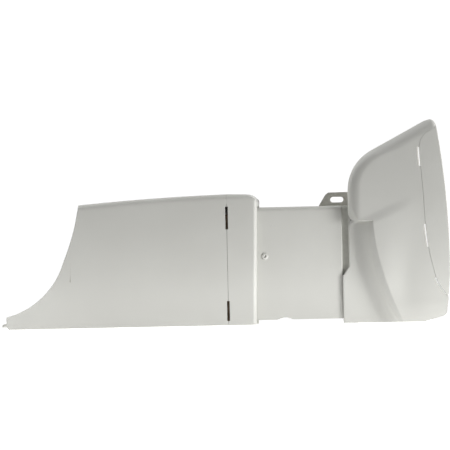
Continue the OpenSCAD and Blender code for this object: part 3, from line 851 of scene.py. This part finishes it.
SPIGOT_OUTLINE = [(-52.3, 7.7), (52.3, 7.7), (52.3, 134.3), (-52.3, 134.3)]
FIXING_R = 0.02         # a turned end is closed down to this radius
NECK_SCREW_Z = (22, 80, 128)
RIVET_X, RIVET_Z = 48, 82
LUG_RIVET_X = (100, 118)
LUG_RIVET_Y = 10
BASE_SCREWS = [         # X, Y, shank radius and head radius
    (-225, 62.4, 1.9, 3.8), (-125, 62.4, 1.9, 3.8), (24, 64, 1.6, 3),
]


def build_neck_plate():
    """The hood's back wall: a plate round the spigot."""
    half, foot, top = NECK_HOLE[0], 0.4, 146
    outline = rounded([(-half, foot), (half, foot), (half, top), (-half, top)], [0, 0, 6, 6])
    hole = rounded(SPIGOT_OUTLINE, [0.5, 0.5, 4, 4])
    slab("hood_neck_plate", outline, WALL, "shell_plastic", "duct", holes=[hole], axis="x", at=150.2,
         bevel=0.4)


def build_neck_gasket():
    half, foot, top = 57, 4, duct_high.z
    outline = rounded([(-half, foot), (half, foot), (half, top), (-half, top)], [0.5, 0.5, 5, 5])
    hole = [(-52.05, 7.95), (52.05, 7.95), (52.05, 134.05), (-52.05, 134.05)]
    slab("neck_gasket_foam", outline, 7.6, "foam_seal", "duct", ["neck_gasket"], [hole], 0.6, "x", 144.85)


def build_neck_ring():
    outline = rounded(rectangle(-61.5, 61.5, 4, 140), 4)
    slab("neck_ring_plate", outline, 5, "inner_plastic", "duct", ["neck_ring"], [SPIGOT_OUTLINE], 0.6, "x",
         154.2)


def pan_screw(name, place, axis, head_r, head_h, body):
    """A pan head with a round recess, seated at place and standing out along axis."""
    profile = [(FIXING_R, head_h * 0.35), (head_r * 0.28, head_h * 0.45), (head_r * 0.34, head_h),
               (head_r * 0.62, head_h * 0.92), (head_r * 0.9, head_h * 0.6), (head_r, head_h * 0.25),
               (head_r, 0), (head_r * 0.5, 0), (head_r * 0.5, -2)]
    return turned(name, profile, place, axis, "steel", body, steps=24)


def build_neck_screws():
    places = [(156.7, side * 57, z) for side in (-1, 1) for z in NECK_SCREW_Z]
    heads = [pan_screw("head", place, (1, 0, 0), 3, 2, "duct") for place in places]
    shanks = [turned("shank", [(1.6, -7.5), (1.6, 0.2)], place, (1, 0, 0), "steel", "duct", steps=20)
              for place in places]
    joined("neck_screw_set", heads + shanks, ["neck_screws"])


def build_side_rivets():
    """Hollow plastic rivets with a domed head on each side of the duct."""
    profile = [(0.9, -8), (2.4, -8), (2.4, -0.2), (4.1, 0), (4.15, 0.35), (3.9, 0.8), (3.3, 1.2),
               (2.5, 1.45), (1.7, 1.4), (1.25, 1.15), (0.95, 0.6), (0.9, -8)]
    rivets = [turned("rivet", profile, (RIVET_X, side * duct_high.y, RIVET_Z), (0, side, 0),
                     "shell_plastic", "duct") for side in (-1, 1)]
    joined("side_rivet_pair", rivets, ["side_rivets"])


def build_lug_rivets():
    profile = [(FIXING_R, 134.9), (2.2, 134.9), (3, 135.5), (3.2, 136.4), (2, 136.5), (2, 139.4),
               (3.5, 140.95), (FIXING_R, 140.95)]
    pins = [turned("pin", profile, (x, side * LUG_RIVET_Y, 0), (0, 0, 1), "steel", "duct", steps=24)
            for x in LUG_RIVET_X for side in (-1, 1)]
    joined("lug_rivet_set", pins, ["lug_rivets"])


def build_base_screws():
    """Countersunk screws that stand up into the trunk's walls from below."""
    screws = []
    for x, y, r, head_r in BASE_SCREWS:
        profile = [(FIXING_R, 1.1), (0.9, 1), (1.3, 0.05), (head_r - 0.1, 0.02), (head_r, 0.15),
                   (r, head_r - r + 0.1), (r, 12), (r * 0.6, 13.4), (FIXING_R, 14)]
        screws += [turned("screw", profile, (x, side * y, 0), (0, 0, 1), "steel", "trunk", steps=24)
                   for side in (-1, 1)]
    joined("base_screw_set", screws, ["base_screws"])


def build_spacer_tube():
    end, edge = 57.4, 57.1
    profile = [(2.5, -end), (3.7, -end), (4, -edge), (4, edge), (3.7, end), (2.5, end), (2.5, -end)]
    turned("spacer_tube_steel", profile, (RIVET_X, 0, RIVET_Z), (0, 1, 0), "steel", "duct", ["spacer_tube"])


def build_lug():
    """A cast lug: an upright tab with its slot, a flange across it and a riveted plate."""
    tab = rounded([(115, 137), (136, 137), (136, 141.05), (148.6, 141.05), (148.6, 157.5), (124.2, 157.2),
                   (120.9, 154.6), (112.6, 141.05), (115, 141.05)], [0, 0, 0, 0, 0, 3, 2.2, 0.4, 0], 5)
    slot = stadium(134.7, 148.4, 15.8, 6.6)
    flange = rounded(rectangle(-12, 12, 141.1, 157.5), [0, 0, 3, 3])
    plate = rounded(rectangle(92.2, 136, -17.8, 17.8), 3)
    holes = [arc(x, y, 2.05, 0, 4, 16)[:-1] for x in LUG_RIVET_X for y in (-LUG_RIVET_Y, LUG_RIVET_Y)]
    parts = [slab("tab", tab, 2.5, "cast_zinc", "duct", holes=[slot]),
             slab("flange", flange, 1.9, "cast_zinc", "duct", axis="x", at=147.6),
             slab("plate", plate, 1.95, "cast_zinc", "duct", holes=holes, axis="z", at=137.5)]
    lug = joined("lug_bracket_casting", parts, ["lug_bracket"])
    round_edges(lug, 0.35, 35, 3)


# ---- tongues, felt, screen and nick ------------------------------------------

TONGUE_Y = 57
TONGUE_EDGE_R = 1.2
TONGUE_STATIONS = [     # X, foot, top and half width along a tongue
    (-236.2, 3.05, 7.5, 6.9), (-250, 3.05, 8.5, 6.9), (-257.5, 3.4, 9.3, 6.9), (-261, 4, 8.6, 6.7),
    (-265, 3.2, 7.4, 6.5), (-268, 2.5, 6.4, 6.2), (-269.2, 2.5, 5.7, 5.8), (-269.38, 3, 5.2, 5.4),
]
SCREEN_X = 155.9
SCREEN_PITCH = 3.46
WIRE_R = 0.3
WIRE_WAVE = 0.32


def build_tongues():
    """Two tapered tongues, rounded all along, that reach out past the scribed end."""
    parts = []
    for side in (-1, 1):
        rows = []
        for x, low, high, half in TONGUE_STATIONS:
            r = min(TONGUE_EDGE_R, (high - low) / 2 - 0.05)
            ring = arc(half - r, low + r, r, -1, 0, 4) + arc(half - r, high - r, r, 0, 1, 4)
            ring += arc(r - half, high - r, r, 1, 2, 4) + arc(r - half, low + r, r, 2, 3, 4)
            rows.append([(x, side * TONGUE_Y + y, z) for y, z in ring])
        parts.append(ring_piece("tongue", rows, "shell_plastic", "trunk"))
    joined("locating_tongue_pair", parts, ["locating_tongues"])


def build_felt():
    """Pressed felt strips: one at each side and one over the duct."""
    inner, outer, side_span = 60.35, 66.7, (3.1, 132.9)
    strips = [(inner, outer, *side_span), (-outer, -inner, *side_span), (-54, 54, 141.4, 152)]
    parts = [slab("strip", rectangle(*strip), 15.9, "felt", "trunk", axis="x", at=4) for strip in strips]
    felt = joined("felt_wiper_strips", parts, ["felt_wiper"])
    round_edges(felt, 0.5, 35, 2)


def build_screen():
    """A woven wire screen: wires across and wires up that pass over and under each other."""
    half, low, high = 44.3, 15.6, 126.4
    wire = bpy.data.curves.new("insect_screen_weave", "CURVE")
    wire.dimensions = "3D"
    wire.bevel_depth = WIRE_R * MM
    wire.bevel_resolution = 1
    wire.resolution_u = 3
    ys = spread(-half, half, round(2 * half / SCREEN_PITCH))
    zs = spread(low, high, round((high - low) / SCREEN_PITCH))

    def strand(points):
        spline = wire.splines.new("POLY")
        spline.points.add(len(points) - 1)
        for point, p in zip(spline.points, points):
            point.co = (*(Vector(p) * MM), 1)

    def wave_x(i, k):
        return SCREEN_X + (WIRE_WAVE if (i + k) % 2 else -WIRE_WAVE)

    for i, z in enumerate(zs[1:-1]):
        strand([(wave_x(i, k), y, z) for k, y in enumerate(ys)])
    for k, y in enumerate(ys[1:-1]):
        strand([(wave_x(i, k), y, z) for i, z in enumerate(zs)])
    screen = bpy.data.objects.new("insect_screen_weave", wire)
    bpy.context.scene.collection.objects.link(screen)
    screen.data.materials.append(MATERIALS["screen_mesh"])
    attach(screen, "duct")
    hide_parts("insect_screen")


def build_nick():
    """The small nick near the scribed end, drawn as a thin dark sheet of painted shade: X, Z and half width
    from its top down.
    """
    stations = [(-185.6, 78.5, 0.02), (-185.9, 70.5, 0.03), (-186.1, 63, 0.07), (-186.4, 55.6, 0.34)]
    edge_y, middle_y = -TRUNK_HALF - 0.02, -TRUNK_HALF - 0.05
    rows = [[(x - w, edge_y, z), (x, middle_y, z), (x + w, edge_y, z)] for x, z, w in stations]
    faces = [(i * 3 + j, i * 3 + j + 1, (i + 1) * 3 + j + 1, (i + 1) * 3 + j)
             for i in range(len(rows) - 1) for j in range(2)]
    nick = make_piece("cover_nick", flat(rows), faces, "shell_plastic", "trunk")
    # the nick's sheet takes the painted shade material instead of the shell plastic
    nick.data.materials[0] = NICK_PAINTED_SHADE


build_cover()
build_collar()
build_duct()
build_hood()
build_bezel()
build_neck_plate()
build_neck_gasket()
build_neck_ring()
build_neck_screws()
build_side_rivets()
build_lug_rivets()
build_base_screws()
build_spacer_tube()
build_lug()
build_tongues()
build_felt()
build_screen()
build_nick()
build_gate_marks()

for name, node in frame["nodes"].items():
    if node.hide_render:
        continue
    wanted = next(s["material_slot"] for s in frame["record"]["subparts"] if s["node"] == name)
    node.data.materials.clear()
    node.data.materials.append(MATERIALS[wanted])


# ---- stage, light and camera -------------------------------------------------
# Everything in this section is in metres.

WHITE = (1, 1, 1, 1)
CAMERA_DISTANCE = 15.0
CAMERA_SIDE = 0.35
AIM = Vector((0.001, -0.07, 0.1206))
SCENE_WIDTH = 0.54
SENSOR_WIDTH = 36
ROLL = -1.2


def stage_plane(name, size, place, turn, glow):
    bpy.ops.mesh.primitive_plane_add(size=size, location=place, rotation=turn)
    plane = bpy.context.object
    plane.name = name
    material = bpy.data.materials.new(name)
    material.use_nodes = True
    shader = material.node_tree.nodes["Principled BSDF"]
    shader.inputs["Base Color"].default_value = (0.8, 0.8, 0.8, 1)
    shader.inputs["Roughness"].default_value = 0.9
    shader.inputs["Emission Color"].default_value = WHITE
    shader.inputs["Emission Strength"].default_value = glow
    plane.data.materials.append(material)
    return plane


def area_light(name, place, aim, side, power):
    """A square area light that the camera doesn't see."""
    data = bpy.data.lights.new(name, "AREA")
    data.shape = "RECTANGLE"
    data.size = data.size_y = side
    data.energy = power
    light = bpy.data.objects.new(name, data)
    light.location = place
    light.rotation_mode = "QUATERNION"
    light.rotation_quaternion = (Vector(aim) - Vector(place)).to_track_quat("-Z", "Y")
    light.visible_camera = False
    bpy.context.scene.collection.objects.link(light)


floor = stage_plane("floor", 1, (0, 0, -0.0006), (0, 0, 0), 0.86)
floor.scale = (3, 0.48, 1)
stage_plane("backdrop", 100, (0, 20, 0), (math.pi / 2, 0, 0), 1)

area_light("key_right", (0.95, -0.8, 0.06), (0.1, -0.05, 0.06), 0.4, 2.8)
area_light("far_right", (2.5, -1.5, 0.12), (0.1, -0.05, 0.08), 0.8, 50)
area_light("left_fill", (-1.2, -0.9, 0.3), (0, 0, 0.1), 0.8, 0.6)
area_light("top_left", (-0.6, 0.08, 1.2), (0, 0, 0.1), 0.8, 7.5)

world = bpy.data.worlds.new("studio")
world.use_nodes = True
world.node_tree.nodes["Background"].inputs["Color"].default_value = WHITE
world.node_tree.nodes["Background"].inputs["Strength"].default_value = 0.1
bpy.context.scene.world = world
bpy.context.scene.view_settings.view_transform = "Standard"

camera_data = bpy.data.cameras.new("camera")
camera_data.sensor_width = SENSOR_WIDTH
camera_data.lens = SENSOR_WIDTH * CAMERA_DISTANCE / SCENE_WIDTH
camera = bpy.data.objects.new("camera", camera_data)
camera.location = AIM + Vector((CAMERA_SIDE, -CAMERA_DISTANCE, 0))
camera.rotation_mode = "QUATERNION"
look = (AIM - camera.location).to_track_quat("-Z", "Y")
camera.rotation_quaternion = look @ Quaternion((0, 0, 1), math.radians(ROLL))
bpy.context.scene.collection.objects.link(camera)
bpy.context.scene.camera = camera
